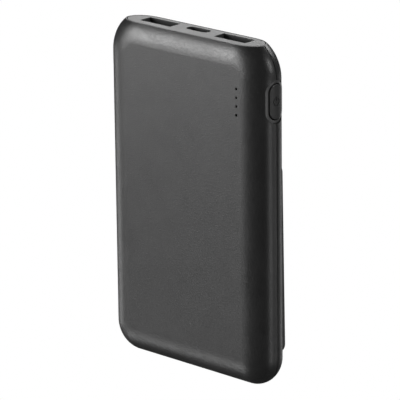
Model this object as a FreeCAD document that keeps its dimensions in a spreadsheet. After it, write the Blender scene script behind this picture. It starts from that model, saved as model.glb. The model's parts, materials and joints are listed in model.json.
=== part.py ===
import FreeCAD, Part
import math
import os
import re
import Sketcher

Vector = FreeCAD.Vector
Rotation = FreeCAD.Rotation

# A slim upright power bank. Frame: X across the width, Y from front to rear, Z up.
# The origin is the middle of the flat foot, on the plane where the two shells part.

# Driving sizes in millimetres: alias, value, what it sets.
DRIVING_SIZES = [
    ("body_width", 64.4, "outside width"),
    ("body_height", 105.0, "foot to end panel"),
    ("front_depth", 6.25, "parting plane to front face"),
    ("rear_depth", 6.75, "parting plane to rear face"),
    ("edge_roll", 8.9, "how far the rounded edge reaches in from the outline"),
    ("roll_fullness", 0.56, "fullness of that edge, where 0.55 is an ellipse"),
    ("top_corner", 3.9, "corner radius of the flat faces at the top"),
    ("foot_corner", 0.3, "corner radius of the flat faces at the foot"),
    ("crown_cut", 2.8, "end panel below the crown that the outline would reach"),
    ("foot_cut", 0.3, "foot land above the lowest point that the outline would reach"),
    ("wall", 1.3, "shell wall"),
    ("seam_gap", 0.24, "shadow gap between the shells"),
    ("seam_depth", 0.5, "depth of that gap"),
    ("lip_height", 1.0, "rear shell lip inside the front shell"),
    ("lip_inset", 0.74, "outside of the lip from the outline"),
    ("lip_gap", 0.06, "clearance round the lip"),
    ("rim", 0.2, "shell edge beside the end panel"),
    ("panel_gap", 0.22, "gap round the end panel"),
    ("panel_thickness", 1.6, "end panel"),
    ("port_offset", 0.8, "centre line of the wide ports behind the parting plane"),
    ("usb_a_spacing", 30.0, "between the centres of the two wide ports"),
    ("usb_c_back", 0.7, "small port behind the line of the wide ones"),
    ("mouth_side_lap", 0.3, "panel over the side of a wide socket"),
    ("mouth_face_lap", 0.56, "panel over the face of a wide socket"),
    ("mouth_corner", 0.35, "corner radius of a wide opening"),
    ("usb_c_mouth_width", 8.8, "small opening in the panel"),
    ("usb_c_mouth_height", 3.2, "small opening in the panel"),
    ("port_seat", 0.05, "clearance between a socket and the panel"),
    ("relief_gap", 0.15, "clearance cut in the rear shell behind a socket"),
    ("usb_a_width", 13.1, "outside of a wide socket"),
    ("usb_a_height", 5.72, "outside of a wide socket"),
    ("usb_a_length", 12.5, "length of a wide socket"),
    ("socket_sheet", 0.3, "sheet steel of a wide socket"),
    ("usb_a_base", 3.0, "moulded base of a wide socket"),
    ("usb_a_tongue_width", 11.1, "tongue of a wide socket"),
    ("usb_a_tongue_room", 0.42, "room behind that tongue"),
    ("usb_a_tongue_shift", 0.3, "tongue behind the port centre line"),
    ("usb_a_tongue_recess", 2.6, "tongue tip below the socket mouth"),
    ("usb_a_pitch", 2.25, "between contact strips"),
    ("usb_a_contact", 1.0, "width of a contact strip"),
    ("contact_sheet", 0.1, "thickness of a contact strip"),
    ("usb_c_width", 8.94, "outside of the small socket"),
    ("usb_c_height", 3.16, "outside of the small socket"),
    ("usb_c_length", 7.3, "length of the small socket"),
    ("usb_c_sheet", 0.3, "sheet steel of the small socket"),
    ("usb_c_base", 2.4, "moulded base of the small socket"),
    ("usb_c_leg", 2.0, "height of the legs that hold the small socket on the board"),
    ("usb_c_tongue_width", 6.7, "tongue of the small socket"),
    ("usb_c_tongue", 0.7, "thickness of that tongue"),
    ("usb_c_tongue_recess", 0.9, "tongue tip below the socket mouth"),
    ("usb_c_pitch", 0.5, "between contact strips"),
    ("usb_c_contact", 0.26, "width of a contact strip"),
    ("strip_short", 0.5, "contact strips end below the tongue tip"),
    ("controls_drop", 16.15, "button centre below the end panel"),
    ("cap_radius", 2.5, "round ends of the button cap"),
    ("cap_straight", 5.7, "straight part of the button cap"),
    ("cap_gap", 0.3, "shadow gap round the cap"),
    ("cap_inset", 0.35, "crest of the cap in from the widest point of the body"),
    ("cap_crown", 9.0, "radius of the crowned cap face"),
    ("cap_edge", 0.25, "rounding of the cap"),
    ("cap_flange", 0.5, "flange wider than the cap"),
    ("flange_thickness", 0.8, "button flange"),
    ("flange_gap", 0.05, "between the flange and the ring at rest"),
    ("press_travel", 0.35, "how far the button goes in"),
    ("ring_band", 0.85, "width of the button ring"),
    ("ring_inset", 0.55, "crest of the ring in from the widest point of the body"),
    ("ring_crown", 8.0, "radius of the crowned ring face"),
    ("ring_depth", 2.25, "ring from crest to seat"),
    ("ring_gap", 0.1, "gap round the ring"),
    ("flange_room", 0.1, "clearance round the flange in the shells"),
    ("mark_radius", 1.3, "power symbol"),
    ("mark_line", 0.26, "line width of the symbol"),
    ("mark_depth", 0.22, "floor of the symbol below the crest of the cap"),
    ("mark_opening", 0.9, "opening at the top of the symbol ring"),
    ("lamp_inset", 10.3, "lamp row in from the side of the body"),
    ("lamp_drop", 0.55, "middle of the lamp row below the button centre"),
    ("lamp_pitch", 2.66, "between lamps"),
    ("lamp_hole", 0.42, "radius of a lamp hole"),
    ("lamp_peg", 0.36, "radius of a light guide peg"),
    ("lamp_recess", 0.7, "peg end behind the front face"),
    ("guide_width", 2.6, "light guide bar"),
    ("guide_height", 11.0, "light guide bar"),
    ("guide_air", 0.3, "between the light guide bar and the lamp chips"),
    ("lamp_length", 1.6, "lamp chip"),
    ("lamp_width", 0.8, "lamp chip"),
    ("lamp_height", 0.6, "lamp chip"),
    ("pad_side", 4.2, "rear grip pad in from the side of the body"),
    ("pad_low", 8.0, "lower end of the pad"),
    ("pad_high", 68.0, "upper end of the pad"),
    ("pad_proud_low", 1.6, "pad above the rear face at its lower end"),
    ("pad_proud_high", 0.65, "pad above the rear face at its upper end"),
    ("pad_corner", 3.0, "pad corner radius"),
    ("pad_edge", 0.5, "rounding of the pad edge"),
    ("board_side", 0.75, "main board in from the face of the switch"),
    ("board_thickness", 1.0, "main board"),
    ("board_top_gap", 1.7, "between the board and the panel"),
    ("board_height", 20.0, "main board"),
    ("board_cut", 3.0, "cut corners of the main board"),
    ("screw_offset", 15.0, "board screw beside the centre line"),
    ("screw_rise", 2.9, "board screw above the lower edge of the board"),
    ("screw_radius", 0.7, "board screw shank"),
    ("screw_hole", 0.85, "hole in the board"),
    ("screw_head", 1.45, "board screw head"),
    ("screw_head_height", 0.8, "board screw head"),
    ("screw_length", 3.2, "board screw below the head"),
    ("post_radius", 1.7, "screw post on the front shell"),
    ("switch_width", 3.4, "switch, across the body"),
    ("switch_tall", 6.4, "switch, up the body"),
    ("switch_room", 1.1, "between the switch and the button flange"),
    ("plunger_radius", 0.9, "switch plunger"),
    ("plunger_gap", 0.05, "between the plunger and the flange"),
    ("plunger_inside", 0.6, "plunger inside the switch"),
    ("plunger_clearance", 0.06, "round the plunger"),
    ("inductor_side", 7.0, "inductor"),
    ("inductor_height", 3.0, "inductor"),
    ("inductor_rise", 5.0, "inductor above the lower edge of the board"),
    ("inductor_corner", 1.2, "inductor"),
    ("chip_side", 5.0, "controller chip"),
    ("chip_height", 0.9, "controller chip"),
    ("power_chip_width", 4.0, "power stage chip"),
    ("power_chip_tall", 5.0, "power stage chip"),
    ("power_chip_height", 1.5, "power stage chip"),
    ("part_row", 11.0, "row of parts above the lower edge of the board"),
    ("capacitor_length", 3.2, "capacitor"),
    ("capacitor_width", 1.6, "capacitor"),
    ("resistor_length", 1.6, "resistor"),
    ("resistor_width", 0.8, "resistor"),
    ("resistor_height", 0.45, "resistor"),
    ("cell_side", 3.9, "room beside the battery cell"),
    ("cell_room", 6.2, "between the cell and the main board"),
    ("cell_low", 5.4, "lower end of the cell"),
    ("foam_thickness", 0.5, "foam behind the cell"),
    ("cell_edge", 3.0, "long edges of the cell"),
    ("cell_end_edge", 1.0, "end edges of the cell"),
    ("cell_front_gap", 0.4, "room in front of the cell"),
    ("tab_width", 5.0, "cell tab"),
    ("tab_sheet", 0.2, "cell tab"),
    ("tab_length", 3.4, "cell tab"),
    ("tab_offset", 8.0, "cell tab beside the centre line"),
    ("guard_width", 32.0, "protection board"),
    ("guard_tall", 3.4, "protection board"),
    ("guard_thickness", 0.8, "protection board"),
    ("guard_gap", 0.6, "protection board above the cell"),
    ("foam_width", 40.0, "foam tape"),
    ("foam_height", 50.0, "foam tape"),
    ("sheet_thickness", 0.25, "insulating sheet"),
    ("sheet_gap", 0.3, "between the board parts and the sheet"),
    ("lead_radius", 0.55, "lead with its jacket"),
    ("lead_offset", 6.2, "lead beside the centre line"),
    ("lead_clear", 1.2, "lead straight on above the protection board"),
    ("lead_reach", 3.0, "lead comes to the main board this far up it"),
    ("lead_flat", 2.9, "lead lying on the main board"),
]

# Sizes that follow from the driving ones.
WORKED_OUT = [
    ("crown", "=body_height + crown_cut"),
    ("corner_centre_x", "=body_width / 2 - edge_roll - top_corner"),
    ("corner_centre_top", "=crown - edge_roll - top_corner"),
    ("foot_centre_x", "=body_width / 2 - edge_roll - foot_corner"),
    ("foot_centre_low", "=edge_roll + foot_corner - foot_cut"),
    ("panel_low", "=body_height - panel_thickness"),
    ("inner_front", "=wall - front_depth"),
    ("inner_rear", "=rear_depth - wall"),
    ("middle_depth", "=(rear_depth - front_depth) / 2"),
    ("pad_width", "=body_width - 2 * pad_side"),
    ("controls_height", "=body_height - controls_drop"),
    ("lamp_offset", "=body_width / 2 - lamp_inset"),
    ("lamp_level", "=controls_height - lamp_drop"),
    ("ring_radius", "=cap_radius + cap_gap + ring_band"),
    ("socket_top", "=panel_low - port_seat"),
    ("usb_a_mouth_width", "=usb_a_width - 2 * mouth_side_lap"),
    ("usb_a_mouth_height", "=usb_a_height - 2 * mouth_face_lap"),
    ("usb_c_offset", "=port_offset + usb_c_back"),
    ("usb_a_tongue", "=usb_a_height / 2 - socket_sheet - usb_a_tongue_shift - usb_a_tongue_room"),
    ("board_back", "=port_offset - usb_a_height / 2"),
    ("board_front", "=board_back - board_thickness"),
    ("board_high", "=panel_low - board_top_gap"),
    ("board_low", "=board_high - board_height"),
    ("screw_level", "=board_low + screw_rise"),
    ("parts_level", "=board_low + part_row"),
    ("ring_face", "=body_width / 2 - ring_inset"),
    ("ring_seat", "=ring_face - ring_depth"),
    ("flange_face", "=ring_seat - flange_gap"),
    ("flange_back", "=flange_face - flange_thickness"),
    ("cap_face", "=body_width / 2 - cap_inset"),
    ("switch_face", "=flange_back - switch_room"),
    ("board_width", "=2 * (switch_face - board_side)"),
    ("sheet_width", "=body_width - 2 * edge_roll"),
    ("cell_width", "=body_width - 2 * wall - 2 * cell_side"),
    ("cell_high", "=board_low - cell_room"),
    ("cell_front", "=inner_front + cell_front_gap"),
    ("cell_back", "=inner_rear - foam_thickness"),
    ("cell_thickness", "=cell_back - cell_front"),
    ("cell_middle", "=cell_front + cell_thickness / 2"),
    ("guard_low", "=cell_high + guard_gap"),
    ("guard_high", "=guard_low + guard_tall"),
    ("guard_front", "=cell_middle + tab_sheet / 2"),
    ("guard_back", "=guard_front + guard_thickness"),
]

SHEET_NAME = "Sizes"
FAR = 40.0  # how far the helper blocks reach past the body
LAMP_COUNT = 4
SIDES = [("left", -1), ("right", 1)]

doc = FreeCAD.newDocument("power_bank")
sheet = doc.addObject("Spreadsheet::Sheet", SHEET_NAME)
aliases = set()
nodes = []


def fill_sheet():
    rows = [(name, str(value), note) for name, value, note in DRIVING_SIZES]
    rows += [(name, formula, "worked out") for name, formula in WORKED_OUT]
    for number, (name, content, note) in enumerate(rows, start=1):
        sheet.set("A%d" % number, name)
        sheet.set("B%d" % number, content)
        sheet.set("C%d" % number, note)
        sheet.setAlias("B%d" % number, name)
        aliases.add(name)
    doc.recompute()


def size(name):
    return float(sheet.get(name))


def formula(text):
    """Turns the aliases in a formula into references to the sheet."""
    def refer(match):
        word = match.group(0)
        return "%s.%s" % (SHEET_NAME, word) if word in aliases else word
    return re.sub(r"[a-z_]+", refer, str(text))


def bind(obj, prop, text):
    obj.setExpression(prop, formula(text))


def place(obj, x, y, z):
    for axis, text in zip("xyz", (x, y, z)):
        bind(obj, ".Placement.Base." + axis, text)


def finish(obj, label):
    obj.Label = label
    nodes.append(obj)
    return obj


# ---- plain solids, each bound to the sheet ----

def block(name, x, y, z):
    """A box from three (low, high) pairs of formulas."""
    box = doc.addObject("Part::Box", name)
    for prop, (low, high) in zip(("Length", "Width", "Height"), (x, y, z)):
        bind(box, prop, "(%s) - (%s)" % (high, low))
    place(box, x[0], y[0], z[0])
    return box


def centred(middle, width):
    return ("(%s) - (%s) / 2" % (middle, width), "(%s) + (%s) / 2" % (middle, width))


AXIS_TURN = {
    "x": Rotation(Vector(0, 1, 0), 90),
    "y": Rotation(Vector(1, 0, 0), -90),
    "z": Rotation(),
}


def rod(name, axis, radius, length, x, y, z):
    """A cylinder that starts at (x, y, z) and runs along +axis."""
    cylinder = doc.addObject("Part::Cylinder", name)
    cylinder.Placement = FreeCAD.Placement(Vector(), AXIS_TURN[axis])
    bind(cylinder, "Radius", radius)
    bind(cylinder, "Height", length)
    place(cylinder, x, y, z)
    return cylinder


def cut(name, base, *tools):
    result = doc.addObject("Part::Cut", name)
    result.Base = base
    result.Tool = tools[0] if len(tools) == 1 else fuse(name + "_tools", *tools)
    return result


def fuse(name, *shapes):
    result = doc.addObject("Part::MultiFuse", name)
    result.Shapes = list(shapes)
    result.Refine = True
    return result


def common(name, *shapes):
    result = doc.addObject("Part::MultiCommon", name)
    result.Shapes = list(shapes)
    return result


def group(name, members):
    result = doc.addObject("Part::Compound", name)
    result.Links = members
    return result


def round_edges(name, base, radius, wanted):
    """Rounds the edges of base for which wanted(edge) is true."""
    doc.recompute()
    fillet = doc.addObject("Part::Fillet", name)
    fillet.Base = base
    value = size(radius)
    picked = [i for i, edge in enumerate(base.Shape.Edges, start=1) if wanted(edge)]
    fillet.Edges = [(number, value, value) for number in picked]
    return fillet


def runs_along(edge, axis):
    if not isinstance(edge.Curve, (Part.Line, Part.LineSegment)):
        return False
    return abs(abs(edge.Curve.Direction.dot(axis)) - 1) < 1e-6


def slot_block(name, axis, radius, straight, x, y, z):
    """A long block with round ends. Along x it stands up in z, along z it lies in x."""
    if axis == "x":
        low, high = x
        length = "(%s) - (%s)" % (high, low)
        ends = [rod(name + "_end_%d" % i, "x", radius, length, low, y,
                    "(%s) %s (%s) / 2" % (z, sign, straight)) for i, sign in enumerate("-+")]
        core = block(name + "_core", x, centred(y, "2 * (%s)" % radius), centred(z, straight))
    else:
        low, high = z
        length = "(%s) - (%s)" % (high, low)
        ends = [rod(name + "_end_%d" % i, "z", radius, length,
                    "(%s) %s (%s) / 2" % (x, sign, straight), y, low) for i, sign in enumerate("-+")]
        core = block(name + "_core", centred(x, straight), centred(y, "2 * (%s)" % radius), z)
    return fuse(name, core, *ends)


# ---- sketches ----

def sketch_on(body, plane_role, offset="0"):
    plane = [item for item in body.Origin.OriginFeatures if item.Role == plane_role][0]
    sketch = body.newObject("Sketcher::SketchObject", body.Name + "_sketch")
    sketch.AttachmentSupport = (plane, [""])
    sketch.MapMode = "FlatFace"
    bind(sketch, ".AttachmentOffset.Base.z", offset)
    return sketch


def fix(sketch, kind, *arguments):
    """A dimension whose last argument is a formula."""
    number = sketch.addConstraint(Sketcher.Constraint(kind, *arguments[:-1], 1.0))
    bind(sketch, "Constraints[%d]" % number, arguments[-1])


def draw_polygon(sketch, points):
    """A closed outline through points, each a pair of formulas."""
    guess = [Vector(10 * math.cos(a), 10 * math.sin(a), 0) for a in
             (2 * math.pi * i / len(points) for i in range(len(points)))]
    first = sketch.GeometryCount
    count = len(points)
    for i in range(count):
        sketch.addGeometry(Part.LineSegment(guess[i], guess[(i + 1) % count]), False)
    for i in range(count):
        sketch.addConstraint(Sketcher.Constraint("Coincident", first + i, 2, first + (i + 1) % count, 1))
    for i, (across, up) in enumerate(points):
        fix(sketch, "DistanceX", -1, 1, first + i, 1, across)
        fix(sketch, "DistanceY", -1, 1, first + i, 1, up)


def draw_rectangle(sketch, across, up):
    draw_polygon(sketch, [(across[0], up[0]), (across[1], up[0]), (across[1], up[1]), (across[0], up[1])])


def new_body(name):
    return doc.addObject("PartDesign::Body", name)


def pad(body, sketch, length, both_ways=False, reverse=False):
    feature = body.newObject("PartDesign::Pad", body.Name + "_pad")
    feature.Profile = sketch
    bind(feature, "Length", length)
    feature.Midplane = both_ways
    feature.Reversed = reverse
    sketch.Visibility = False
    return feature


def dress(body, kind, base, size_name, wanted):
    """A PartDesign fillet or chamfer on the edges that wanted() picks."""
    doc.recompute()
    feature = body.newObject(kind, body.Name + "_edge")
    names = ["Edge%d" % i for i, edge in enumerate(base.Shape.Edges, start=1) if wanted(edge)]
    feature.Base = (base, names)
    bind(feature, "Radius" if kind.endswith("Fillet") else "Size", size_name)
    return feature


# ---- the soft outer form, at any depth inside it ----

def roll_curve(centre, outward, radius, roll, depth):
    """The section of the rounded edge, from its widest point to the flat face."""
    full = size("roll_fullness")
    base = centre + outward * radius
    poles = [base + outward * roll,
             base + outward * roll + Vector(0, full * depth, 0),
             base + outward * (full * roll) + Vector(0, depth, 0),
             base + Vector(0, depth, 0)]
    curve = Part.BezierCurve()
    curve.setPoles(poles)
    return curve.toShape()


def soft_form(name, inset):
    """The closed body form, moved in by inset on every side, as one sewn solid."""
    roll = size("edge_roll") - inset
    depths = (inset - size("front_depth"), size("rear_depth") - inset)
    upper = (size("corner_centre_x"), size("corner_centre_top"), size("top_corner"))
    lower = (size("foot_centre_x"), size("foot_centre_low"), size("foot_corner"))
    corners = [(upper[0], upper[1], upper[2]), (-upper[0], upper[1], upper[2]),
               (-lower[0], lower[1], lower[2]), (lower[0], lower[1], lower[2])]
    faces = []
    for depth in depths:
        flat_edges = []
        for i, (x, z, radius) in enumerate(corners):
            centre = Vector(x, 0, z)
            start = Vector(round(math.cos(i * math.pi / 2)), 0, round(math.sin(i * math.pi / 2)))
            end = Vector(-start.z, 0, start.x)
            after_x, after_z, after_radius = corners[(i + 1) % 4]
            step = Vector(after_x, 0, after_z) + end * after_radius - centre - end * radius
            section = roll_curve(centre, start, radius, roll, depth)
            faces += section.revolve(centre, Vector(0, -1, 0), 90).Faces
            faces += roll_curve(centre, end, radius, roll, depth).extrude(step).Faces
            lift = Vector(0, depth, 0)
            middle = (start + end).normalize()
            arc = Part.Arc(centre + start * radius + lift, centre + middle * radius + lift,
                           centre + end * radius + lift)
            flat_edges += [arc.toShape(),
                           Part.makeLine(centre + end * radius + lift, centre + end * radius + lift + step)]
        faces.append(Part.Face(Part.Wire(Part.__sortEdges__(flat_edges))))
    shell = Part.makeShell(faces)
    shell.sewShape()
    solid = Part.makeSolid(shell)
    if solid.Volume < 0:
        solid.reverse()
    form = doc.addObject("Part::Feature", name)
    form.Shape = solid
    return form


def slab(name, y, z):
    """A block wider than the body, for keeping one part of a soft form."""
    return block(name, (-FAR, FAR), y, z)


def build_forms():
    wall = size("wall")
    rim = size("rim")
    return {
        "outer": soft_form("form_outer", 0.0),
        "cavity": soft_form("form_cavity", wall),
        "seat": soft_form("form_seat", rim),
        "panel": soft_form("form_panel", rim + size("panel_gap")),
        "seam": soft_form("form_seam", size("seam_depth")),
        "lip": soft_form("form_lip", size("lip_inset")),
        "lip_room": soft_form("form_lip_room", size("lip_inset") - size("lip_gap")),
    }


def build_cutters(forms):
    """Everything that both shells leave room for."""
    inside = common("cutter_inside", forms["cavity"],
                    slab("below_panel", (-FAR, FAR), (0, "body_height")))
    seat = common("cutter_seat", forms["seat"],
                  slab("panel_zone", (-FAR, FAR), ("panel_low", "body_height + 5")))
    seam_slab = block("seam_slab", (-FAR, FAR), centred(0, "seam_gap"), (-5, "body_height + 5"))
    seam = cut("cutter_seam", seam_slab, forms["seam"])
    ring = slot_block("cutter_ring", "x", "ring_radius + ring_gap", "cap_straight",
                      ("ring_seat", "body_width"), "middle_depth", "controls_height")
    flange = slot_block("cutter_flange", "x", "cap_radius + cap_flange + flange_room", "cap_straight",
                        ("switch_face", "ring_seat + 1"), "middle_depth", "controls_height")
    return [inside, seat, seam, ring, flange]


# ---- shells ----

def build_front_shell(forms, cutters):
    half = common("front_half", forms["outer"], slab("front_zone", (-FAR, 0), (0, "body_height")))
    lip_room = common("front_lip_room", forms["lip_room"],
                      slab("lip_room_zone", ("-lip_height - lip_gap", 1), (0, "panel_low")))
    tray = cut("front_tray", half, lip_room, *cutters)
    posts = [rod("screw_post_" + side, "y", "post_radius", "board_front - inner_front + wall / 2",
                 "%d * screw_offset" % sign, "inner_front - wall / 2", "screw_level")
             for side, sign in SIDES]
    holes = [rod("lamp_hole_%d" % i, "y", "lamp_hole", "3 * wall",
                 "lamp_offset", "-front_depth - wall", level) for i, level in enumerate(lamp_levels())]
    holes += [rod("screw_pilot_" + side, "y", "screw_radius", "screw_length",
                  "%d * screw_offset" % sign, "board_back - screw_length", "screw_level")
              for side, sign in SIDES]
    finish(cut("front_shell", fuse("front_with_posts", tray, *posts), *holes), "front_shell")


def build_rear_shell(forms, cutters):
    half = common("rear_half", forms["outer"], slab("rear_zone", (0, FAR), (0, "body_height")))
    reliefs = [block("relief_" + side,
                     centred("%d * usb_a_spacing / 2" % sign, "usb_a_width + 2 * relief_gap"),
                     (0, "port_offset + usb_a_height / 2 + relief_gap"),
                     ("socket_top - usb_a_length - relief_gap", "panel_low"))
               for side, sign in SIDES]
    lip = common("lip_ring", forms["lip"], slab("lip_zone", ("-lip_height", "seam_gap"), (0, "panel_low")))
    lip_hollow = cut("rear_lip", lip, *[item for item in cutters if item.Name != "cutter_seam"])
    shell = cut("rear_tray", half, *(cutters + reliefs))
    finish(fuse("rear_shell", shell, lip_hollow), "rear_shell")


def build_top_panel(forms):
    plate = common("panel_plate", forms["panel"],
                   slab("panel_slab", (-FAR, FAR), ("panel_low", "body_height")))
    mouths = []
    for side, sign in SIDES:
        sharp = block("mouth_block_" + side, centred("%d * usb_a_spacing / 2" % sign, "usb_a_mouth_width"),
                      centred("port_offset", "usb_a_mouth_height"), ("panel_low - 1", "body_height + 1"))
        mouths.append(round_edges("mouth_" + side, sharp, "mouth_corner",
                                  lambda edge: runs_along(edge, Vector(0, 0, 1))))
    mouths.append(slot_block("mouth_small", "z", "usb_c_mouth_height / 2",
                             "usb_c_mouth_width - usb_c_mouth_height", 0, "usb_c_offset",
                             ("panel_low - 1", "body_height + 1")))
    finish(cut("top_panel", plate, *mouths), "top_panel")


def build_rear_grip_pad(forms):
    body = new_body("grip_pad")
    sketch = sketch_on(body, "YZ_Plane")
    inside = "rear_depth - 2 * wall"
    draw_polygon(sketch, [(inside, "pad_low"), ("rear_depth + pad_proud_low", "pad_low"),
                          ("rear_depth + pad_proud_high", "pad_high"), (inside, "pad_high")])
    wedge = pad(body, sketch, "pad_width", both_ways=True)
    corners = dress(body, "PartDesign::Fillet", wedge, "pad_corner",
                    lambda edge: runs_along(edge, Vector(0, 1, 0)))
    doc.recompute()
    back = size("rear_depth")
    dress(body, "PartDesign::Fillet", corners, "pad_edge",
          lambda edge: edge.BoundBox.YMin > back + 0.1)
    finish(cut("rear_grip_pad", body, forms["outer"]), "rear_grip_pad")


# ---- button, ring and switch ----

def crown(name, radius, crest):
    """A rod whose side is the crowned face of the ring or the cap."""
    return rod(name, "z", radius, FAR, "(%s) - (%s)" % (crest, radius), "middle_depth",
               "controls_height - %g / 2" % FAR)


def build_button():
    ring = slot_block("ring_block", "x", "ring_radius", "cap_straight",
                      ("ring_seat", "ring_face + 1"), "middle_depth", "controls_height")
    hole = slot_block("ring_hole", "x", "cap_radius + cap_gap", "cap_straight",
                      ("ring_seat - 1", "ring_face + 1"), "middle_depth", "controls_height")
    crowned = common("ring_crowned", ring, crown("ring_crest", "ring_crown", "ring_face"))
    finish(cut("button_frame", crowned, hole), "button_frame")

    cap = common("cap_crowned",
                 slot_block("cap_block", "x", "cap_radius", "cap_straight",
                            ("flange_back", "cap_face + 1"), "middle_depth", "controls_height"),
                 crown("cap_crest", "cap_crown", "cap_face"))
    doc.recompute()
    seated = size("flange_face")
    rounded = round_edges("cap_rounded", cap, "cap_edge", lambda edge: edge.BoundBox.XMin > seated)
    flange = slot_block("flange_block", "x", "cap_radius + cap_flange", "cap_straight",
                        ("flange_back", "flange_face"), "middle_depth", "controls_height")
    pressed = ("cap_face - mark_depth", "cap_face + 1")
    outer = rod("mark_outer", "x", "mark_radius", "mark_depth + 1",
                pressed[0], "middle_depth", "controls_height")
    inner = rod("mark_inner", "x", "mark_radius - mark_line", "mark_depth + 1",
                pressed[0], "middle_depth", "controls_height")
    opening = block("mark_opening_block", pressed, centred("middle_depth", "mark_opening"),
                    ("controls_height", "controls_height + 2 * mark_radius"))
    bar = block("mark_bar", pressed, centred("middle_depth", "mark_line"),
                ("controls_height + mark_radius / 5", "controls_height + mark_radius + mark_line"))
    mark = fuse("mark", cut("mark_ring", outer, inner, opening), bar)
    finish(cut("power_button", fuse("button_body", rounded, flange), mark), "power_button")


def build_switch():
    housing = block("switch_housing", ("switch_face - switch_width", "switch_face"),
                    ("board_back", "2 * middle_depth - board_back"),
                    centred("controls_height", "switch_tall"))
    well = rod("plunger_well", "x", "plunger_radius + plunger_clearance",
               "plunger_inside + press_travel + plunger_gap + 1",
               "switch_face - plunger_inside - press_travel - plunger_gap",
               "middle_depth", "controls_height")
    finish(cut("switch_body", housing, well), "switch_body")
    finish(rod("switch_plunger", "x", "plunger_radius", "plunger_inside + switch_room - plunger_gap",
               "switch_face - plunger_inside", "middle_depth", "controls_height"), "switch_plunger")


# ---- lamps ----

def lamp_levels():
    return ["lamp_level + %.1f * lamp_pitch" % ((LAMP_COUNT - 1) / 2 - i) for i in range(LAMP_COUNT)]


def build_lamps():
    bar = block("guide_bar", centred("lamp_offset", "guide_width"),
                ("inner_front", "board_front - lamp_height - guide_air"),
                centred("lamp_level", "guide_height"))
    pegs = [rod("guide_peg_%d" % i, "y", "lamp_peg", "wall - lamp_recess + lamp_peg",
                "lamp_offset", "lamp_recess - front_depth", level) for i, level in enumerate(lamp_levels())]
    finish(fuse("light_guide", bar, *pegs), "light_guide")
    lamps = [block("lamp_%d" % i, centred("lamp_offset", "lamp_length"),
                   ("board_front - lamp_height", "board_front"), centred(level, "lamp_width"))
             for i, level in enumerate(lamp_levels())]
    finish(group("status_lamps", lamps), "status_lamps")


# ---- sockets ----

def build_wide_socket(side, sign):
    name = "usb_a_" + side
    middle = "%d * usb_a_spacing / 2" % sign
    whole = ("socket_top - usb_a_length", "socket_top")
    case = block(name + "_case", centred(middle, "usb_a_width"),
                 centred("port_offset", "usb_a_height"), whole)
    room_width = "usb_a_width - 2 * socket_sheet"
    room_height = "usb_a_height - 2 * socket_sheet"
    room = block(name + "_room", centred(middle, room_width), centred("port_offset", room_height),
                 ("socket_top - usb_a_length - 1", "socket_top + 1"))
    finish(cut(name + "_shell", case, room), name + "_shell")
    base = block(name + "_base", centred(middle, room_width), centred("port_offset", room_height),
                 ("socket_top - usb_a_length", "socket_top - usb_a_length + usb_a_base"))
    face = "port_offset + usb_a_tongue_shift"
    tongue = block(name + "_tongue", centred(middle, "usb_a_tongue_width"),
                   (face, face + " + usb_a_tongue"),
                   ("socket_top - usb_a_length", "socket_top - usb_a_tongue_recess"))
    finish(fuse(name + "_insulator", base, tongue), name + "_insulator")
    strips = [block(name + "_strip_%d" % i,
                    centred("%s + %.1f * usb_a_pitch" % (middle, i - 1.5), "usb_a_contact"),
                    (face + " - contact_sheet", face),
                    ("socket_top - usb_a_length + usb_a_base",
                     "socket_top - usb_a_tongue_recess - strip_short"))
              for i in range(4)]
    finish(group(name + "_contacts", strips), name + "_contacts")


def build_small_socket():
    whole = ("socket_top - usb_c_length", "socket_top")
    straight = "usb_c_width - usb_c_height"
    case = slot_block("usb_c_case", "z", "usb_c_height / 2", straight, 0, "usb_c_offset", whole)
    room = slot_block("usb_c_room", "z", "usb_c_height / 2 - usb_c_sheet", straight, 0, "usb_c_offset",
                      ("socket_top - usb_c_length - 1", "socket_top + 1"))
    legs = [block("usb_c_leg_" + side,
                  centred("%d * (usb_c_width - usb_c_sheet) / 2" % sign, "usb_c_sheet"),
                  ("board_back", "usb_c_offset"),
                  ("socket_top - usb_c_length", "socket_top - usb_c_length + usb_c_leg"))
            for side, sign in SIDES]
    finish(cut("usb_c_shell", fuse("usb_c_case_with_legs", case, *legs), room), "usb_c_shell")
    base = slot_block("usb_c_base_block", "z", "usb_c_height / 2 - usb_c_sheet", straight, 0, "usb_c_offset",
                      ("socket_top - usb_c_length", "socket_top - usb_c_length + usb_c_base"))
    tongue = block("usb_c_tongue_block",
                   centred(0, "usb_c_tongue_width"), centred("usb_c_offset", "usb_c_tongue"),
                   ("socket_top - usb_c_length", "socket_top - usb_c_tongue_recess"))
    finish(fuse("usb_c_insulator", base, tongue), "usb_c_insulator")
    strips = []
    for face, sign in SIDES:
        near = "usb_c_offset + %d * usb_c_tongue / 2" % sign
        far = "usb_c_offset + %d * (usb_c_tongue / 2 + contact_sheet)" % sign
        depth = (far, near) if sign < 0 else (near, far)
        strips += [block("usb_c_strip_%s_%d" % (face, i),
                         centred("%.1f * usb_c_pitch" % (i - 5.5), "usb_c_contact"),
                         depth, ("socket_top - usb_c_length + usb_c_base",
                                 "socket_top - usb_c_tongue_recess - strip_short"))
                   for i in range(12)]
    finish(group("usb_c_contacts", strips), "usb_c_contacts")


# ---- main board ----

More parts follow.
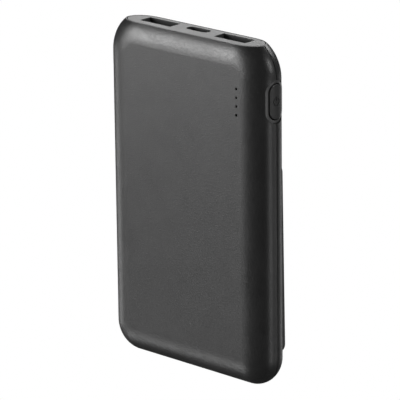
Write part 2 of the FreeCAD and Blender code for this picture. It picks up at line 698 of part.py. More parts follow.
def build_main_board():
    body = new_body("board")
    sketch = sketch_on(body, "XZ_Plane", "-board_back")
    draw_rectangle(sketch, ("-board_width / 2", "board_width / 2"), ("board_low", "board_high"))
    plate = pad(body, sketch, "board_thickness")
    doc.recompute()
    high = size("board_high")
    dress(body, "PartDesign::Chamfer", plate, "board_cut",
          lambda edge: runs_along(edge, Vector(0, 1, 0)) and edge.BoundBox.ZMin > high - 0.1)
    holes = [rod("board_hole_" + side, "y", "screw_hole", "3 * board_thickness", "%d * screw_offset" % sign,
                 "board_front - board_thickness", "screw_level") for side, sign in SIDES]
    finish(cut("main_board", body, *holes), "main_board")
    screws = []
    for side, sign in SIDES:
        middle = "%d * screw_offset" % sign
        shank = rod("screw_shank_" + side, "y", "screw_radius", "screw_length + screw_head_height / 2",
                    middle, "board_back - screw_length", "screw_level")
        head = rod("screw_head_" + side, "y", "screw_head", "screw_head_height",
                   middle, "board_back", "screw_level")
        screws.append(fuse("screw_" + side, shank, head))
    finish(group("board_screws", screws), "board_screws")


def on_front(name, x, z, width, tall, height):
    return block(name, centred(x, width), ("board_front - (%s)" % height, "board_front"),
                 centred(z, tall))


def build_board_parts():
    body = new_body("inductor")
    sketch = sketch_on(body, "XZ_Plane", "-board_back")
    draw_rectangle(sketch, centred(0, "inductor_side"),
                   ("board_low + inductor_rise", "board_low + inductor_rise + inductor_side"))
    core = pad(body, sketch, "inductor_height", reverse=True)
    dress(body, "PartDesign::Chamfer", core, "inductor_corner",
          lambda edge: runs_along(edge, Vector(0, 1, 0)))
    finish(body, "boost_inductor")
    finish(on_front("controller", 0, "parts_level", "chip_side", "chip_side", "chip_height"),
           "controller_chip")
    finish(group("power_stages", [on_front("power_stage_" + side, "%d * screw_offset" % sign, "parts_level",
                                           "power_chip_width", "power_chip_tall", "power_chip_height")
                                  for side, sign in SIDES]), "power_stage_chips")
    capacitors = [on_front("capacitor_%s_%d" % (side, i),
                           "%d * (chip_side + %d * capacitor_width)" % (sign, i * 2),
                           "parts_level", "capacitor_width", "capacitor_length", "capacitor_width")
                  for side, sign in SIDES for i in range(2)]
    finish(group("capacitor_set", capacitors), "ceramic_capacitors")
    resistors = [on_front("resistor_%s_%d" % (side, i), "%d * %d * resistor_length" % (sign, 2 * i + 1),
                          "parts_level + chip_side", "resistor_length", "resistor_width", "resistor_height")
                 for side, sign in SIDES for i in range(3)]
    finish(group("resistor_set", resistors), "resistors")


# ---- battery ----

def build_cell():
    body = new_body("cell")
    sketch = sketch_on(body, "XZ_Plane", "-cell_back")
    draw_rectangle(sketch, centred(0, "cell_width"), ("cell_low", "cell_high"))
    pouch = pad(body, sketch, "cell_thickness")
    sides = dress(body, "PartDesign::Fillet", pouch, "cell_edge",
                  lambda edge: runs_along(edge, Vector(0, 0, 1)))
    doc.recompute()
    low, high = size("cell_low"), size("cell_high")
    dress(body, "PartDesign::Fillet", sides, "cell_end_edge",
          lambda edge: edge.BoundBox.ZMax < low + 0.1 or edge.BoundBox.ZMin > high - 0.1)
    finish(body, "battery_cell")
    for pole, sign in (("positive", 1), ("negative", -1)):
        finish(block("tab_" + pole, centred("%d * tab_offset" % sign, "tab_width"),
                     centred("cell_middle", "tab_sheet"), ("cell_high", "cell_high + tab_length")),
               "cell_tab_" + pole)
    finish(block("guard", centred(0, "guard_width"), ("guard_front", "guard_back"),
                 ("guard_low", "guard_high")), "cell_protection_board")
    finish(block("foam", centred(0, "foam_width"), ("cell_back", "inner_rear"),
                 centred("(cell_low + cell_high) / 2", "foam_height")), "cell_foam_tape")
    finish(block("sheet_plate", centred(0, "sheet_width"), ("inner_front", "board_front"),
                 ("board_low - sheet_gap - sheet_thickness", "board_low - sheet_gap")), "insulating_sheet")


def lead_path(points):
    """Straight runs joined by tangent arcs, each as large as its runs allow."""
    edges = []
    start = points[0]
    for before, corner, after in zip(points, points[1:], points[2:]):
        into = (corner - before).normalize()
        out = (after - corner).normalize()
        half_turn = into.getAngle(out) / 2
        trim = 0.45 * min((corner - before).Length, (after - corner).Length)
        radius = trim / math.tan(half_turn)
        print("lead bend radius %.1f mm" % radius)
        first = corner - into * trim
        last = corner + out * trim
        inward = (out - into).normalize()
        middle = corner + inward * (radius / math.cos(half_turn) - radius)
        edges += [Part.makeLine(start, first), Part.Arc(first, middle, last).toShape()]
        start = last
    edges.append(Part.makeLine(start, points[-1]))
    return Part.Wire(edges)


def build_leads():
    radius = size("lead_radius")
    low = size("guard_low") + size("guard_tall") / 2
    leave = size("guard_high") + size("lead_clear")
    land = size("board_low") + size("lead_reach")
    guard_side = size("guard_back") + radius
    board_side = size("board_back") + radius
    for pole, sign in (("positive", 1), ("negative", -1)):
        x = sign * size("lead_offset")
        path = lead_path([Vector(x, guard_side, low), Vector(x, guard_side, leave),
                          Vector(x, board_side, land), Vector(x, board_side, land + size("lead_flat"))])
        ring = Part.Wire(Part.makeCircle(radius, Vector(x, guard_side, low), Vector(0, 0, 1)))
        tube = path.makePipeShell([ring], True, False)
        print("lead volume ratio %.3f" % (tube.Volume / (math.pi * radius ** 2 * path.Length)))
        lead = doc.addObject("Part::Feature", "lead_" + pole)
        lead.Shape = tube
        finish(lead, pole + "_lead")


def check_and_write():
    doc.recompute()
    for obj in doc.Objects:
        if "Invalid" in obj.State or "Error" in obj.State:
            raise RuntimeError("failed object: %s (%s)" % (obj.Label, obj.State))
    for node in nodes:
        if node.Shape.isNull() or not node.Shape.isValid() or not node.Shape.Solids:
            raise RuntimeError("bad shape: " + node.Label)
    os.makedirs("parts", exist_ok=True)
    for node in nodes:
        node.Shape.exportStep(os.path.join("parts", node.Label + ".step"))
        print("%-24s %2d solids %10.2f mm3" % (node.Label, len(node.Shape.Solids), node.Shape.Volume))


fill_sheet()
forms = build_forms()
cutters = build_cutters(forms)
build_front_shell(forms, cutters)
build_rear_shell(forms, cutters)
build_top_panel(forms)
build_rear_grip_pad(forms)
build_button()
build_switch()
build_lamps()
for side, sign in SIDES:
    build_wide_socket(side, sign)
build_small_socket()
build_main_board()
build_board_parts()
build_cell()
build_leads()
check_and_write()
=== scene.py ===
import json
import math

import bmesh
import bpy
from mathutils import Matrix, Vector


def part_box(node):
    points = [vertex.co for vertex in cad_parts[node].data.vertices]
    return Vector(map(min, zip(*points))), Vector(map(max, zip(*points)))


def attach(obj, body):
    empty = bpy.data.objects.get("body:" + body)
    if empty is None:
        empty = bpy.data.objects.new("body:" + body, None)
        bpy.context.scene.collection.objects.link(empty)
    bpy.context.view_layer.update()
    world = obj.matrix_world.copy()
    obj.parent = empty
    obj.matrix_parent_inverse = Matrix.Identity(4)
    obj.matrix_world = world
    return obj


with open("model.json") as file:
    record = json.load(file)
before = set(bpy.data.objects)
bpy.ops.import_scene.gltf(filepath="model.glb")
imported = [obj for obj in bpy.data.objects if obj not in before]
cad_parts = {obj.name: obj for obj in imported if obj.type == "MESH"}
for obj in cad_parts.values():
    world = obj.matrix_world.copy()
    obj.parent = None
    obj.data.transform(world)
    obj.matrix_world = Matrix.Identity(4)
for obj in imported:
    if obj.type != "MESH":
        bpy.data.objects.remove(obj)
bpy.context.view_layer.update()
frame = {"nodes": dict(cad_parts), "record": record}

mm = 0.001
print("frame loaded:", len(frame["nodes"]), "nodes")


cameraSettings = {
    "azimuth": 43.05,
    "elevation": 17.29,
    "roll": -0.68,
    "distance": 0.9931,
    "lens": 297.6,
    "sensor": 36,
    "target": (0.92 * mm, 0.25 * mm, 52.62 * mm),
}


def directionTo(azimuth, elevation):  # azimuth 0 is in front of the bank, 90 on the button's side
    around = math.radians(azimuth)
    up = math.radians(elevation)
    return Vector((math.sin(around) * math.cos(up), -math.cos(around) * math.cos(up), math.sin(up)))


def makeCamera(settings):
    data = bpy.data.cameras.new("camera")
    data.lens = settings["lens"]
    data.sensor_width = settings["sensor"]
    data.clip_start = 10 * mm
    camera = bpy.data.objects.new("camera", data)
    bpy.context.scene.collection.objects.link(camera)
    back = directionTo(settings["azimuth"], settings["elevation"])
    place = Vector(settings["target"]) + back * settings["distance"]
    roll = Matrix.Rotation(math.radians(settings["roll"]), 4, "Z")
    camera.matrix_world = Matrix.Translation(place) @ back.to_track_quat("Z", "Y").to_matrix().to_4x4() @ roll
    bpy.context.scene.camera = camera


makeCamera(cameraSettings)
print("camera placed")


studio = {
    "middle": (0, 0, 50 * mm),
    "distance": 1.4,
    "floorSize": 6.0,
    "floorColor": (0.9, 0.9, 0.9, 1),
    "floorRoughness": 0.9,
    "skyLevel": 0.055,
    "whiteLevel": 1.0,
    # name, azimuth and elevation faced by the slope that shows it, width, height, watts
    "softboxes": [
        ("frontStrip", 0, 17, 0.42, 0.75, 18),
        ("footGlow", 0, -14, 0.5, 0.4, 2.5),
        ("leftGlow", -20, 0, 0.5, 0.4, 1.5),
        ("sideGlow", 62, 0, 0.36, 0.32, 2),
        ("sideFill", 80, 0, 0.42, 0.32, 0.8),
        ("cornerGlow", 70, 24, 0.22, 0.5, 6),
        ("rimGlow", 110, 0, 0.5, 0.4, 0.8),
        ("panelGlance", 0, 90, 0.5, 0.4, 2),
        ("rearFill", 100, 50, 0.5, 0.5, 6),
    ],
}


def whiteToCamera(tree, surface, output, level):
    kind = "Emission" if output.type == "OUTPUT_MATERIAL" else "Background"
    white = tree.nodes.new("ShaderNode" + kind)
    white.inputs["Strength"].default_value = level
    white.inputs["Color"].default_value = (1, 1, 1, 1)
    seen = tree.nodes.new("ShaderNodeLightPath")
    mix = tree.nodes.new("ShaderNodeMixShader")
    tree.links.new(seen.outputs["Is Camera Ray"], mix.inputs[0])
    tree.links.new(surface, mix.inputs[1])
    tree.links.new(white.outputs[0], mix.inputs[2])
    tree.links.new(mix.outputs[0], output.inputs["Surface"])


def makeSky(settings):
    world = bpy.data.worlds.new("studioSky")
    world.use_nodes = True
    tree = world.node_tree
    sky = tree.nodes["Background"]
    sky.inputs["Color"].default_value = (1, 1, 1, 1)
    sky.inputs["Strength"].default_value = settings["skyLevel"]
    whiteToCamera(tree, sky.outputs[0], tree.nodes["World Output"], settings["whiteLevel"])
    bpy.context.scene.world = world


def makeFloor(settings):
    sheet = bmesh.new()
    bmesh.ops.create_grid(sheet, x_segments=1, y_segments=1, size=settings["floorSize"] / 2)
    data = bpy.data.meshes.new("floor")
    sheet.to_mesh(data)
    sheet.free()
    floor = bpy.data.objects.new("floor", data)
    bpy.context.scene.collection.objects.link(floor)
    material = bpy.data.materials.new("paleFloor")
    material.use_nodes = True
    tree = material.node_tree
    paint = tree.nodes["Principled BSDF"]
    paint.inputs["Base Color"].default_value = settings["floorColor"]
    paint.inputs["Roughness"].default_value = settings["floorRoughness"]
    paint.inputs["Specular IOR Level"].default_value = 0.0
    whiteToCamera(tree, paint.outputs[0], tree.nodes["Material Output"], settings["whiteLevel"])
    data.materials.append(material)
    floor.visible_shadow = False  # the low softboxes shine up through it, as through a light table
    floor.visible_glossy = False


def mirrored(azimuth, elevation):  # the way to a light that such a slope mirrors to the camera
    facing = directionTo(azimuth, elevation)
    back = directionTo(cameraSettings["azimuth"], cameraSettings["elevation"])
    return 2 * facing.dot(back) * facing - back


def makeSoftbox(settings, name, azimuth, elevation, width, height, watts):
    data = bpy.data.lights.new(name, "AREA")
    data.shape = "RECTANGLE"
    data.size = width
    data.size_y = height
    data.energy = watts
    lamp = bpy.data.objects.new(name, data)
    bpy.context.scene.collection.objects.link(lamp)
    toLamp = mirrored(azimuth, elevation)
    place = Vector(settings["middle"]) + toLamp * settings["distance"]
    lamp.matrix_world = Matrix.Translation(place) @ toLamp.to_track_quat("Z", "Y").to_matrix().to_4x4()
    lamp.visible_camera = False


makeSky(studio)
makeFloor(studio)
for softbox in studio["softboxes"]:
    makeSoftbox(studio, *softbox)
bpy.context.scene.view_settings.view_transform = "Standard"
print("studio lit with", len(studio["softboxes"]), "softboxes")


def addNode(tree, kind, inputs=None, **options):
    node = tree.nodes.new("ShaderNode" + kind)
    for name, value in options.items():
        setattr(node, name, value)
    for key, value in (inputs or {}).items():
        if isinstance(value, bpy.types.NodeSocket):
            tree.links.new(value, node.inputs[key])
        else:
            node.inputs[key].default_value = value
    return node


def calc(tree, operation, *values, clamp=False):
    return addNode(tree, "Math", dict(enumerate(values)), operation=operation, use_clamp=clamp).outputs[0]


def spread(tree, value, low, high, newLow=0.0, newHigh=1.0):
    ends = {"From Min": low, "From Max": high, "To Min": newLow, "To Max": newHigh}
    return addNode(tree, "MapRange", {"Value": value, **ends}, interpolation_type="SMOOTHSTEP").outputs[0]


def blendColor(tree, factor, first, second):
    node = addNode(tree, "Mix", data_type="RGBA")
    for index, value in ((0, factor), (6, first), (7, second)):
        if isinstance(value, bpy.types.NodeSocket):
            tree.links.new(value, node.inputs[index])
        else:
            node.inputs[index].default_value = value
    return node.outputs[2]


def noise(tree, place, scale, detail=2.0, roughness=0.5, distortion=0.0):
    inputs = {"Vector": place, "Scale": scale, "Detail": detail, "Roughness": roughness,
              "Distortion": distortion}
    return addNode(tree, "TexNoise", inputs).outputs["Fac"]


def objectPlace(tree):
    return addNode(tree, "TexCoord").outputs["Object"]


def stretched(tree, scale):  # a scale under 1 draws the pattern out along that axis
    return addNode(tree, "Mapping", {"Vector": objectPlace(tree), "Scale": scale}).outputs[0]


def newGroup(name, inputs, outputs):
    group = bpy.data.node_groups.new(name, "ShaderNodeTree")
    for label, value in inputs.items():
        socket = group.interface.new_socket(name=label, in_out="INPUT", socket_type="NodeSocketFloat")
        socket.default_value = value
    for label, kind in outputs.items():
        group.interface.new_socket(name=label, in_out="OUTPUT", socket_type="NodeSocket" + kind)
    return group, group.nodes.new("NodeGroupInput").outputs, group.nodes.new("NodeGroupOutput").inputs


grainMix = {
    "pits": 0.8,  # how much each layer adds to the height
    "fine": 0.6,
    "broad": 0.3,
    "fineScale": 1.7,  # a scale of 1 is one pit to a cell
    "broadScale": 0.35,
    "cloudScale": 0.05,
    "speckScale": 0.55,
    "pitSoftness": 0.6,
}


def makeGrain(mix):  # spark-eroded mould texture: round pits of one size with finer ones between
    outputs = {"Height": "Float", "Shade": "Float", "Speck": "Float"}
    group, given, result = newGroup("mouldedGrain", {"Cell": 0.3 * mm}, outputs)
    place = objectPlace(group)
    perMetre = calc(group, "DIVIDE", 1.0, given["Cell"])

    def layer(scale, detail, roughness):
        return noise(group, place, calc(group, "MULTIPLY", perMetre, scale), detail, roughness)

    pitInputs = {"Vector": place, "Scale": perMetre, "Smoothness": mix["pitSoftness"]}
    pits = addNode(group, "TexVoronoi", pitInputs, feature="SMOOTH_F1").outputs["Distance"]
    fine = calc(group, "MULTIPLY", layer(mix["fineScale"], 3.0, 0.6), mix["fine"])
    broad = calc(group, "MULTIPLY", layer(mix["broadScale"], 2.0, 0.5), mix["broad"])
    height = calc(group, "ADD", calc(group, "MULTIPLY", pits, mix["pits"]), fine)
    cloud = layer(mix["cloudScale"], 4.0, 0.65)
    specks = layer(mix["speckScale"], 2.0, 0.6)
    group.links.new(calc(group, "ADD", height, broad), result["Height"])
    group.links.new(spread(group, cloud, 0.3, 0.7), result["Shade"])
    group.links.new(spread(group, specks, 0.32, 0.68, -1.0, 1.0), result["Speck"])
    return group


def makeSoftEdges():  # rounds the sharp edges a little and says where they are
    group, given, result = newGroup("softEdges", {"Radius": 0.1 * mm}, {"Normal": "Vector", "Mask": "Float"})
    rounded = addNode(group, "Bevel", {"Radius": given["Radius"]}, samples=4).outputs["Normal"]
    flat = addNode(group, "NewGeometry").outputs["Normal"]
    facing = addNode(group, "VectorMath", {0: rounded, 1: flat}, operation="DOT_PRODUCT").outputs["Value"]
    group.links.new(rounded, result["Normal"])
    group.links.new(spread(group, calc(group, "SUBTRACT", 1.0, facing), 0.01, 0.12), result["Mask"])
    return group


dustPatches = {"perMetre": 220.0, "sparse": 0.56, "dense": 0.74}


def makeSettledDust(settings):  # specks that lie on what faces up
    group, given, result = newGroup("settledDust", {"Speck": 0.25 * mm}, {"Mask": "Float"})
    place = objectPlace(group)
    normal = addNode(group, "NewGeometry").outputs["Normal"]
    upward = addNode(group, "SeparateXYZ", {"Vector": normal}).outputs["Z"]
    specks = noise(group, place, calc(group, "DIVIDE", 1.0, given["Speck"]), 2.0, 0.7)
    patches = spread(group, noise(group, place, settings["perMetre"], 2.0), 0.35, 0.7)
    thick = spread(group, specks, settings["sparse"], settings["dense"])
    mask = calc(group, "MULTIPLY", thick, spread(group, upward, 0.1, 0.9))
    group.links.new(calc(group, "MULTIPLY", mask, patches), result["Mask"])
    return group


def makeHandMarks():  # faint smears where the bank is held
    group, given, result = newGroup("handMarks", {"Size": 14 * mm}, {"Mask": "Float"})
    place = objectPlace(group)
    perMetre = calc(group, "DIVIDE", 1.0, given["Size"])
    smears = noise(group, place, perMetre, 3.0, 0.55, 1.2)
    group.links.new(spread(group, smears, 0.4, 0.72), result["Mask"])
    return group


def makeRolledMetal():  # fine lines along the height, left by the rolls
    group, given, result = newGroup("rolledMetal", {"Line": 0.08 * mm}, {"Height": "Float", "Stain": "Float"})
    place = stretched(group, (1.0, 1.0, 0.06))
    perMetre = calc(group, "DIVIDE", 1.0, given["Line"])
    lines = noise(group, place, perMetre, 3.0, 0.65)
    stain = noise(group, objectPlace(group), 420.0, 4.0, 0.6)
    group.links.new(lines, result["Height"])
    group.links.new(spread(group, stain, 0.35, 0.7), result["Stain"])
    return group


effects = {"grain": makeGrain(grainMix), "edges": makeSoftEdges(), "dust": makeSettledDust(dustPatches),
           "marks": makeHandMarks(), "rolled": makeRolledMetal()}
print("shared effects made:", len(effects))


def effect(tree, name, **values):
    node = addNode(tree, "Group", node_tree=effects[name])
    for label, value in values.items():
        node.inputs[label].default_value = value
    return node.outputs


def newFinish(name, metallic=0.0, ior=1.5):
    material = bpy.data.materials.new(name)
    material.use_nodes = True
    shader = material.node_tree.nodes["Principled BSDF"]
    shader.inputs["Metallic"].default_value = metallic
    shader.inputs["IOR"].default_value = ior
    return material, material.node_tree, shader.inputs


def tinted(color, amount):
    return (*[min(1.0, channel * amount) for channel in color], 1)


def shades(tree, factor, color, first, second):
    return blendColor(tree, factor, tinted(color, first), tinted(color, second))


def bumped(tree, depth, height, **normal):
    return addNode(tree, "Bump", {"Distance": depth, "Height": height, **normal}).outputs[0]


def paintWith(tree, paint, color, roughness, normal):
    tree.links.new(color, paint["Base Color"])
    tree.links.new(roughness, paint["Roughness"])
    tree.links.new(normal, paint["Normal"])


settled = {"color": (0.55, 0.53, 0.5, 1), "roughness": 0.2}  # what the dust adds to a plastic
wornShine = 2.2
brightEdge = {"share": 0.5, "shine": 1.35}


def mouldedPlastic(name, look):
    material, tree, paint = newFinish(name)
    color = look["color"]
    grain = effect(tree, "grain", Cell=look["cell"])
    edges = effect(tree, "edges", Radius=look["edge"])
    dust = effect(tree, "dust")
    marks = effect(tree, "marks")
    cloudy = shades(tree, grain["Shade"], color, 1 - look["mottle"], 1 + look["mottle"])
    wear = calc(tree, "MULTIPLY", edges["Mask"], look["wear"])
    worn = blendColor(tree, wear, cloudy, tinted(color, wornShine))
    dusty = blendColor(tree, calc(tree, "MULTIPLY", dust["Mask"], look["dust"]), worn, settled["color"])
    smear = calc(tree, "MULTIPLY", marks["Mask"], -look["marks"])
    rough = calc(tree, "ADD", look["roughness"], smear)
    rough = calc(tree, "ADD", rough, calc(tree, "MULTIPLY", grain["Speck"], look["speck"]))
    dull = calc(tree, "MULTIPLY", dust["Mask"], settled["roughness"] * look["dust"])
    rough = calc(tree, "ADD", rough, dull, clamp=True)
    normal = bumped(tree, look["depth"], grain["Height"], Normal=edges["Normal"])
    paintWith(tree, paint, dusty, rough, normal)
    return material


def metalSheet(name, look):
    material, tree, paint = newFinish(name, metallic=1.0)
    color = look["color"]
    rolled = effect(tree, "rolled", Line=look["line"])
    edges = effect(tree, "edges", Radius=look["edge"])
    stained = shades(tree, rolled["Stain"], color, 1.0, 1 - look["stain"])
    rubbed = calc(tree, "MULTIPLY", edges["Mask"], brightEdge["share"])
    bright = blendColor(tree, rubbed, stained, tinted(color, brightEdge["shine"]))
    haze = calc(tree, "MULTIPLY", rolled["Stain"], look["haze"])
    rough = calc(tree, "ADD", look["roughness"], haze, clamp=True)
    normal = bumped(tree, look["depth"], rolled["Height"], Normal=edges["Normal"])
    paintWith(tree, paint, bright, rough, normal)
    return material


def pouchFoil(name, look):
    material, tree, paint = newFinish(name, metallic=1.0)
    place = objectPlace(tree)
    dents = noise(tree, place, look["dents"], 2.0, 0.5, 0.6)
    creases = addNode(tree, "TexVoronoi", {"Vector": place, "Scale": look["creases"]},
                      feature="DISTANCE_TO_EDGE").outputs["Distance"]
    height = calc(tree, "ADD", dents, calc(tree, "MULTIPLY", spread(tree, creases, 0.0, 0.12), 0.25))
    # the dents' hollows are painted a little darker and their crests a little lighter: painted shade and
    # painted light
    color = shades(tree, spread(tree, dents, 0.3, 0.7), look["color"], 0.9, 1.05)
    rough = spread(tree, dents, 0.3, 0.7, look["roughness"], look["roughness"] + 0.12)
    paintWith(tree, paint, color, rough, bumped(tree, look["depth"], height))
    return material


def circuitBoard(name, look):  # tracks under the solder mask, with tinned pads between them
    material, tree, paint = newFinish(name)
    place = stretched(tree, (1.0, 0.0, 1.0))
    tracks = addNode(tree, "TexVoronoi", {"Vector": place, "Scale": look["tracks"], "Randomness": 0.75},
                     feature="DISTANCE_TO_EDGE").outputs["Distance"]
    holes = addNode(tree, "TexVoronoi", {"Vector": place, "Scale": look["holes"], "Randomness": 0.8})
    copper = calc(tree, "SUBTRACT", 1.0, spread(tree, tracks, 0.04, 0.07))
    pads = calc(tree, "SUBTRACT", 1.0, spread(tree, holes.outputs["Distance"], 0.1, 0.14))
    weaveInputs = {"Vector": place, "Scale": look["weave"], "Distortion": 0.4}
    weave = addNode(tree, "TexWave", weaveInputs).outputs["Fac"]
    color = blendColor(tree, pads, shades(tree, copper, look["color"], 1.0, 1.7), (*look["pad"], 1))
    height = calc(tree, "ADD", calc(tree, "MULTIPLY", copper, 0.5), calc(tree, "MULTIPLY", weave, 0.08))
    rough = spread(tree, weave, 0.0, 1.0, look["roughness"], look["roughness"] + 0.08)
    paintWith(tree, paint, color, rough, bumped(tree, look["depth"], calc(tree, "ADD", height, pads)))
    tree.links.new(calc(tree, "MULTIPLY", pads, 0.9), paint["Metallic"])
    return material


def pressedPaper(name, look):
    material, tree, paint = newFinish(name)
    fibres = noise(tree, stretched(tree, (0.25, 1.0, 1.0)), look["fibres"], 5.0, 0.7, 0.8)
    flecks = noise(tree, objectPlace(tree), look["fibres"] * 0.6, 3.0, 0.8)
    color = shades(tree, spread(tree, fibres, 0.3, 0.7), look["color"], 0.82, 1.15)
    color = blendColor(tree, spread(tree, flecks, 0.62, 0.72, 0.0, 0.5), color, tinted(look["color"], 0.5))
    rough = spread(tree, fibres, 0.3, 0.7, look["roughness"], look["roughness"] - 0.12)
    paintWith(tree, paint, color, rough, bumped(tree, look["depth"], fibres))
    return material


def openCells(name, look):  # foam and unglazed ceramics: open pores between walls
    material, tree, paint = newFinish(name)
    place = objectPlace(tree)
    holes = addNode(tree, "TexVoronoi", {"Vector": place, "Scale": 1 / look["pore"]}).outputs["Distance"]
    grit = noise(tree, place, 3 / look["pore"], 4.0, 0.7)
    height = calc(tree, "ADD", holes, calc(tree, "MULTIPLY", grit, 0.3))
    # the pores are painted darker and the walls lighter: painted shade in the pores
    color = shades(tree, spread(tree, height, 0.3, 0.9), look["color"], 0.7, 1.2)
    rough = spread(tree, grit, 0.3, 0.7, look["roughness"] - 0.06, look["roughness"])
    paintWith(tree, paint, color, rough, bumped(tree, look["depth"], height))
    return material


def clearMoulding(name, look):
    material, tree, paint = newFinish(name, ior=look["ior"])
    paint["Transmission Weight"].default_value = look["clearness"]
    haze = noise(tree, objectPlace(tree), look["haze"], 3.0, 0.6)
    color = shades(tree, spread(tree, haze, 0.35, 0.7), look["color"], 1.0, 0.8)
    rough = spread(tree, haze, 0.3, 0.7, look["roughness"], look["roughness"] + 0.1)
    paintWith(tree, paint, color, rough, bumped(tree, look["depth"], haze))
    return material


def plastic(color, roughness, **changes):
    look = {"color": color, "roughness": roughness, "cell": 0.3 * mm, "depth": 0.01 * mm, "edge": 0.06 * mm,
            "mottle": 0.08, "speck": 0.02, "wear": 0.35, "dust": 0.12, "marks": 0.03}
    look.update(changes)
    return mouldedPlastic, look


def metal(color, roughness, **changes):
    look = {"color": color, "roughness": roughness, "line": 0.08 * mm, "depth": 0.003 * mm, "edge": 0.05 * mm,
            "stain": 0.18, "haze": 0.1}
    look.update(changes)
    return metalSheet, look


def pores(color, roughness, pore, depth):
    return openCells, {"color": color, "roughness": roughness, "pore": pore, "depth": depth}


finishes = {
    "shell_plastic": plastic((0.016, 0.016, 0.016), 0.385, cell=0.34 * mm, depth=0.026 * mm, mottle=0.14,
                             speck=0.045),
    "panel_plastic": plastic((0.05, 0.05, 0.05), 0.4, cell=0.24 * mm, depth=0.008 * mm, dust=0.2),
    "ring_plastic": plastic((0.045, 0.045, 0.045), 0.34, cell=0.2 * mm, depth=0.005 * mm, wear=0.5),
    "button_plastic": plastic((0.02, 0.02, 0.02), 0.42, cell=0.2 * mm, depth=0.006 * mm, marks=0.08),
    "grip_rubber": plastic((0.03, 0.03, 0.03), 0.62, cell=0.5 * mm, depth=0.03 * mm, marks=0.1,
                           dust=0.3, wear=0.6),
    "switch_plastic": plastic((0.03, 0.03, 0.03), 0.45, cell=0.15 * mm, depth=0.004 * mm),
    "plunger_plastic": plastic((0.6, 0.6, 0.58), 0.4, cell=0.15 * mm, depth=0.003 * mm, wear=0.0, dust=0.0),
    "socket_plastic": plastic((0.018, 0.018, 0.018), 0.5, cell=0.18 * mm, depth=0.005 * mm),
    "chip_resin": plastic((0.02, 0.02, 0.022), 0.6, cell=0.1 * mm, depth=0.006 * mm, marks=0.0),
    "resistor_film": plastic((0.05, 0.05, 0.06), 0.25, cell=0.3 * mm, depth=0.002 * mm),
    "red_jacket": plastic((0.5, 0.02, 0.02), 0.42, cell=0.4 * mm, depth=0.006 * mm, wear=0.0, mottle=0.05),
    "black_jacket": plastic((0.02, 0.02, 0.02), 0.42, cell=0.4 * mm, depth=0.006 * mm, wear=0.0),
    "smoked_plastic": (clearMoulding, {"color": (0.012, 0.012, 0.014), "roughness": 0.3, "clearness": 0.2,
                                       "ior": 1.49, "haze": 900.0, "depth": 0.004 * mm}),
    "lamp_resin": (clearMoulding, {"color": (0.85, 0.87, 0.8), "roughness": 0.1, "clearness": 0.7,
                                   "ior": 1.53, "haze": 2500.0, "depth": 0.006 * mm}),
    "board_laminate": (circuitBoard, {"color": (0.02, 0.12, 0.06), "pad": (0.8, 0.6, 0.25), "roughness": 0.34,
                                      "tracks": 420.0, "holes": 260.0, "weave": 700.0, "depth": 0.03 * mm}),
    "barley_paper": (pressedPaper, {"color": (0.2, 0.35, 0.3), "roughness": 0.85, "fibres": 1600.0,
                                    "depth": 0.04 * mm}),
    "cell_foil": (pouchFoil, {"color": (0.72, 0.73, 0.75), "roughness": 0.28, "dents": 130.0, "creases": 90.0,
                              "depth": 0.25 * mm}),
    "ferrite": pores((0.08, 0.08, 0.085), 0.7, 0.18 * mm, 0.03 * mm),
    "ceramic": pores((0.45, 0.36, 0.24), 0.5, 0.12 * mm, 0.008 * mm),
    "foam": pores((0.06, 0.06, 0.06), 0.95, 0.35 * mm, 0.12 * mm),
    "nickel": metal((0.75, 0.73, 0.68), 0.28, line=0.1 * mm),
    "screw_steel": metal((0.55, 0.55, 0.54), 0.32, line=0.15 * mm, stain=0.3),
    "socket_steel": metal((0.5, 0.51, 0.53), 0.34, line=0.12 * mm, stain=0.25),
    "contact_gold": metal((0.85, 0.62, 0.25), 0.22, line=0.06 * mm, stain=0.1),
}


def finishNodes():
    slotOf = {row["node"]: row["material_slot"] for row in frame["record"]["subparts"]}
    made = {}
    for slotName, (maker, look) in finishes.items():
        made[slotName] = maker(slotName + "Finish", look)
    for name, node in frame["nodes"].items():
        node.data.materials.clear()
        node.data.materials.append(made[slotOf[name]])
    return made


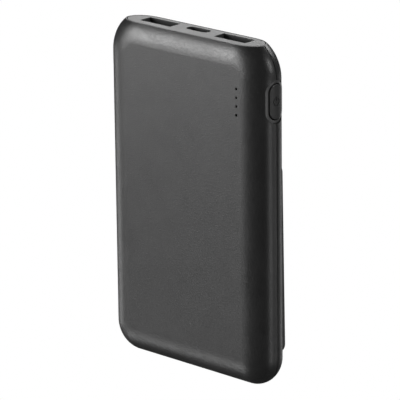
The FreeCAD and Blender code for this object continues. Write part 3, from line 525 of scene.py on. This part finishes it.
madeFinishes = finishNodes()
print("finishes given:", len(madeFinishes))


springLeaf = {
    "width": 2.2 * mm,
    "length": 5.0 * mm,
    "below": 1.3 * mm,    # from the socket's mouth to the leaf's tip
    "apart": 5.0 * mm,
    "rise": 0.32 * mm,    # how far the bend stands off the wall
    "wall": 0.3 * mm,
    "sheet": 0.12 * mm,
    "rows": 16,
    "columns": 4,
    "taper": 0.25,        # how much narrower it is at its tip
}


def addLeaf(strip, settings, middle, face, top):  # a flat grid on the wall, tapered and bent inwards
    turn = Matrix.Rotation(math.radians(90), 4, "X")
    grid = bmesh.ops.create_grid(strip, x_segments=settings["columns"], y_segments=settings["rows"],
                                 size=0.5, matrix=turn)
    bmesh.ops.scale(strip, vec=(settings["width"], 1, settings["length"]), verts=grid["verts"])
    for vertex in grid["verts"]:
        along = vertex.co.z / settings["length"] + 0.5
        vertex.co.y = settings["rise"] * math.sin(math.pi * along) ** 2
        vertex.co.x *= 1 - settings["taper"] * along
    bmesh.ops.translate(strip, vec=(middle, face, top - settings["length"] / 2), verts=grid["verts"])


def makeSpringLeaves(settings):  # two leaves on the front wall of each wide socket
    for side in ("left", "right"):
        low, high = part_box("usb_a_%s_shell" % side)
        strip = bmesh.new()
        for step in (-1, 1):
            middle = (low.x + high.x) / 2 + step * settings["apart"] / 2
            face = low.y + settings["wall"] + settings["sheet"]
            addLeaf(strip, settings, middle, face, high.z - settings["below"])
        bmesh.ops.recalc_face_normals(strip, faces=strip.faces)
        bmesh.ops.solidify(strip, geom=strip.faces[:], thickness=settings["sheet"])
        bmesh.ops.recalc_face_normals(strip, faces=strip.faces)
        data = bpy.data.meshes.new("springLeaves." + side)
        strip.to_mesh(data)
        strip.free()
        data.polygons.foreach_set("use_smooth", [True] * len(data.polygons))
        leaves = bpy.data.objects.new("springLeaves." + side, data)
        bpy.context.scene.collection.objects.link(leaves)
        data.materials.append(madeFinishes["socket_steel"])
        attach(leaves, "housing")


makeSpringLeaves(springLeaf)
print("spring leaves made")
